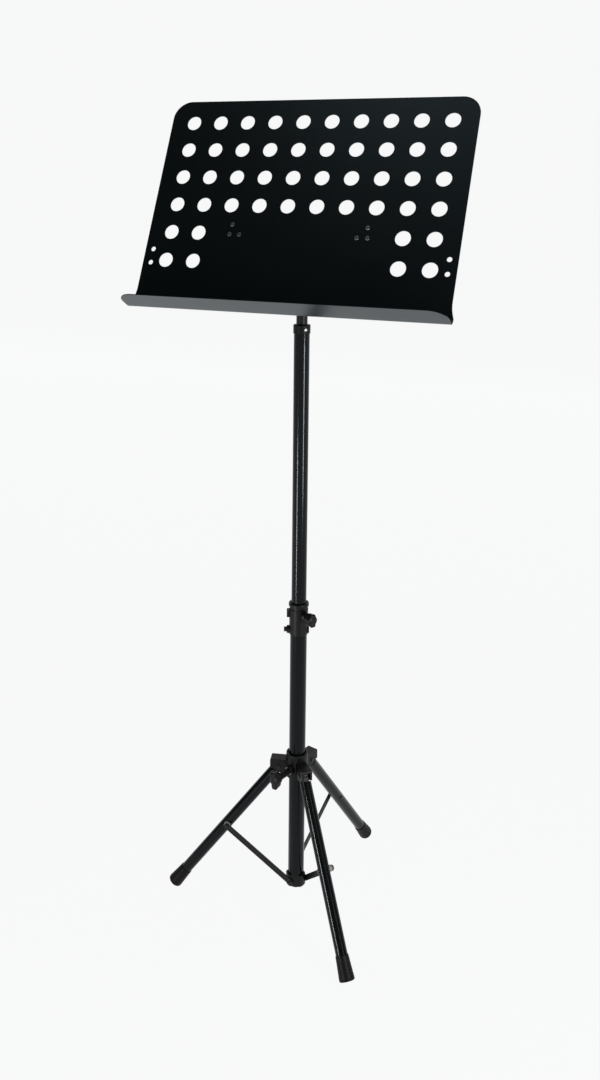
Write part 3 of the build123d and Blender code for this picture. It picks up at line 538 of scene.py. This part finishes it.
def make_wing_knob(name, azimuth, height, turn, boss_end, start, span, body, replaced):
    """Moulded wing knob as one closed surface about its stud.

    At each depth the outline in polar form is the smooth maximum of the hub's
    circle and a long rounded bar: r = (circle^n + bar^n)^(1/n) with
    bar = min(reach / |cos a|, half thickness / |sin a|) softened the same way.
    The bar's reach grows outward, so that the wings flare. A bell curve hollows
    the wings' sides, and the round middle sinks a little at its outer end.
    """
    s = shape()
    base = boss_end + KNOB_BASE
    high = start + s.knob_depth
    neck = rounded([(0.0, base), (s.knob_neck, base), (s.knob_neck, start)], (0.0006,))
    angle = np.linspace(0.0, 2 * np.pi, 288, endpoint=False)
    power = 8.0
    depth = np.linspace(0.0, 1.0, 40)[:, None]
    cap = (1 - np.abs(2 * depth - 1) ** 5) ** 0.2
    reach = (span - WING_FLARE * (1 - depth)) * cap
    half = s.knob_thick / 2 * (0.72 + 0.28 * cap) * cap**0.5
    cos, sin = np.abs(np.cos(angle)), np.abs(np.sin(angle))
    bar = (cos / np.maximum(reach, TINY)) ** power + (sin / np.maximum(half, TINY)) ** power
    bar = bar ** (-1 / power)
    circle = s.knob_hub * cap**0.6
    radius = (bar**power + circle**power) ** (1 / power)
    bell = np.exp(-((cos - HOLLOW_PLACE) ** 2) / HOLLOW_SPREAD) * np.sin(np.pi * depth)
    radius = np.maximum(radius * (1 - WING_HOLLOW * bell), TINY)
    z = start + (high - start) * depth
    sag = np.where(radius < s.knob_hub * 1.02, -HUB_SINK, 0.0) * depth**3
    wings = np.stack((radius * np.cos(angle), radius * np.sin(angle), z + sag), axis=-1)
    stem = turned(resample(neck, 14), angle.size)
    wings[-1] = (0.0, 0.0, high)
    keep = radius[:, 0] > s.knob_neck
    keep[-1] = True
    grid = np.concatenate((stem, wings[keep]), axis=0)
    out = outward(azimuth)
    roll = np.radians(turn)
    x_axis = UP * np.cos(roll) + np.cross(out, UP) * np.sin(roll)
    add_piece(name, placed(grid, UP * height, x_axis, out), body, "black_plastic", replaced)


# ---- operators -----------------------------------------------------------------
class StandOperator:
    """Shared settings of the stand's operators."""

    bl_options = {"REGISTER", "UNDO"}


class STAND_OT_cad_finishes(StandOperator, bpy.types.Operator):
    """Give every metal and moulded part of the frame its finish"""

    bl_idname = "stand.cad_finishes"
    bl_label = "Finish the frame's parts"

    def execute(self, context):
        for part in frame["record"]["subparts"]:
            node = frame["nodes"][part["node"]]
            node.data.materials.clear()
            node.data.materials.append(material_for(part["material_slot"]))
        return {"FINISHED"}


class STAND_OT_feet(StandOperator, bpy.types.Operator):
    """Build the three rubber feet"""

    bl_idname = "stand.feet"
    bl_label = "Rubber feet"

    def execute(self, context):
        for name, azimuth in LEGS.items():
            make_foot(name, azimuth)
        return {"FINISHED"}


class STAND_OT_knobs(StandOperator, bpy.types.Operator):
    """Build the wing knobs of the hub and the height collar"""

    bl_idname = "stand.knobs"
    bl_label = "Wing knobs"

    def execute(self, context):
        s = shape()
        make_wing_knob("hub_wing_knob", HUB_AZIMUTH, HUB_Z, HUB_TURN, HUB_BOSS_END,
                       HUB_WINGS_START, s.hub_knob_span, "hub_clamp", ("hub_knob",))
        make_wing_knob("height_wing_knob", CLAMP_AZIMUTH, CLAMP_Z, CLAMP_TURN, CLAMP_BOSS_END,
                       CLAMP_WINGS_START, s.height_knob_span, "height_clamp", ("height_knob",))
        return {"FINISHED"}


class STAND_OT_stage(StandOperator, bpy.types.Operator):
    """Set the pale floor, the soft lights and the camera"""

    bl_idname = "stand.stage"
    bl_label = "Floor, lights and camera"

    def execute(self, context):
        make_floor()
        make_lights()
        make_camera()
        context.scene.view_settings.view_transform = "Standard"
        return {"FINISHED"}


# ---- stage ---------------------------------------------------------------------
def make_floor():
    """Pale floor that curves up into a backdrop: a flat run, a quarter circle, a wall."""
    turn = np.linspace(0.0, np.pi / 2, 24)
    curve = FLOOR_REACH + FLOOR_CURVE * np.sin(turn)
    y = np.concatenate(([FLOOR_START], curve, [FLOOR_REACH + FLOOR_CURVE]))
    z = np.concatenate(([0.0], FLOOR_CURVE * (1 - np.cos(turn)), [WALL_HEIGHT]))
    x = np.array([-FLOOR_HALF_WIDTH, FLOOR_HALF_WIDTH])
    points = np.stack([np.broadcast_to(v, (2, y.size)) for v in (x[:, None], y, z)], axis=-1)
    index = np.arange(2 * y.size).reshape(2, -1)
    faces = np.stack((index[0, :-1], index[1, :-1], index[1, 1:], index[0, 1:]), axis=-1)
    material = bpy.data.materials.new("Pale Floor")
    material.use_nodes = True
    shader = material.node_tree.nodes["Principled BSDF"]
    shader.inputs["Base Color"].default_value = (0.010, 0.010, 0.010, 1.0)
    shader.inputs["Emission Color"].default_value = (0.93, 0.935, 0.935, 1.0)
    shader.inputs["Emission Strength"].default_value = 0.995
    shader.inputs["Roughness"].default_value = 0.9
    shader.inputs["Specular IOR Level"].default_value = 0.1
    floor = add_surface("floor", points.reshape(-1, 3), faces.tolist(), material)


def add_area(name, place, aim, size, power):
    """A rectangular soft light (width, height) at place that points at aim."""
    data = bpy.data.lights.new(name, "AREA")
    data.shape = "RECTANGLE"
    data.size, data.size_y = size
    data.energy = power
    lamp = add_object(name, data)
    away = Vector(place) - Vector(aim)
    lamp.rotation_euler = away.to_track_quat("Z", "Y").to_euler()
    lamp.location = place


def make_lights():
    """A dim room, two low strips that draw lines along the legs, and a soft top."""
    world = bpy.data.worlds.new("Studio")
    world.use_nodes = True
    back = world.node_tree.nodes["Background"]
    back.inputs["Color"].default_value = (0.93, 1.0, 1.0, 1.0)
    back.inputs["Strength"].default_value = 0.06
    bpy.context.scene.world = world
    for name, (place, aim, size, power) in LIGHTS.items():
        add_area(name, place, aim, size, power)


def make_camera():
    """Camera in front, to the right of the desk and a little above it."""
    data = bpy.data.cameras.new("view")
    data.sensor_fit = "VERTICAL"
    data.sensor_height = 36.0
    data.sensor_width = 20.0
    data.lens = 33.4
    data.shift_x = -0.0059
    data.shift_y = -0.1016
    camera = add_object("view", data)
    yaw, pitch, roll = np.radians(CAMERA_TURN)
    turn = Matrix.Rotation(yaw, 4, "Z") @ Matrix.Rotation(np.pi / 2 + pitch, 4, "X")
    turn = turn @ Matrix.Rotation(roll, 4, "Z")
    camera.matrix_world = Matrix.Translation(CAMERA_PLACE) @ turn
    bpy.context.scene.camera = camera


class STAND_PT_panel(bpy.types.Panel):
    """Lists the stand's operators and settings"""

    bl_label = "Music Stand"
    bl_idname = "STAND_PT_panel"
    bl_space_type = "VIEW_3D"
    bl_region_type = "UI"
    bl_category = "Stand"

    def draw(self, context):
        layout = self.layout
        for operator in OPERATORS:
            layout.operator(operator.bl_idname)
        for settings in (context.scene.stand_shape, context.scene.stand_finish):
            for name in settings.__annotations__:
                layout.prop(settings, name)


OPERATORS = (STAND_OT_cad_finishes, STAND_OT_feet, STAND_OT_knobs, STAND_OT_stage)
CLASSES = (StandFinish, StandShape, *OPERATORS, STAND_PT_panel)


def register():
    """Register the classes and hang the settings on the scene."""
    for cls in CLASSES:
        bpy.utils.register_class(cls)
    bpy.types.Scene.stand_finish = bpy.props.PointerProperty(type=StandFinish)
    bpy.types.Scene.stand_shape = bpy.props.PointerProperty(type=StandShape)


def unregister():
    """Take back what register() added."""
    del bpy.types.Scene.stand_shape
    del bpy.types.Scene.stand_finish
    for cls in reversed(CLASSES):
        bpy.utils.unregister_class(cls)


def main():
    """Run every operator."""
    register()
    bpy.ops.stand.cad_finishes()
    bpy.ops.stand.feet()
    bpy.ops.stand.knobs()
    bpy.ops.stand.stage()


if __name__ == "__main__":
    main()
